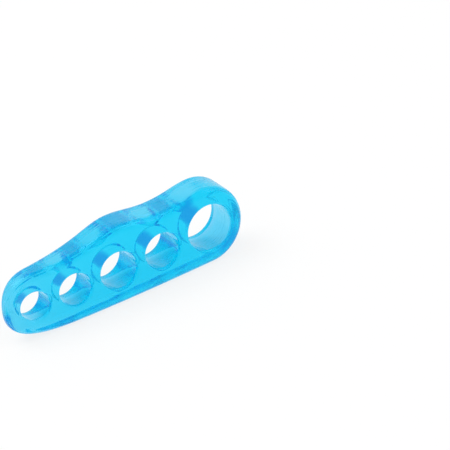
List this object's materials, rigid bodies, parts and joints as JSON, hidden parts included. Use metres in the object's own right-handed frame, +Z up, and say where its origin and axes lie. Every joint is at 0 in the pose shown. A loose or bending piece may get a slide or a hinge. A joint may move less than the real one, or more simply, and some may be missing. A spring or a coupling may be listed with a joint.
{
  "type": "toe separator",
  "caption": "Soft clear gel bar with a row of round toe holes, a wavy top and a flat underside, thicker at the big-toe end.",
  "frame": {"origin": "centre of the bar's box, on the flat underside", "axes": "+X along the bar towards the big toe, +Y through its thickness, +Z up from the flat underside to the wavy top"},
  "size_m": [0.0922, 0.0134, 0.0291],
  "materials": {
    "gel": "clear glossy soft gel"
  },
  "bodies": {
    "root": {"gel_body": "gel"}
  },
  "joints": []
}
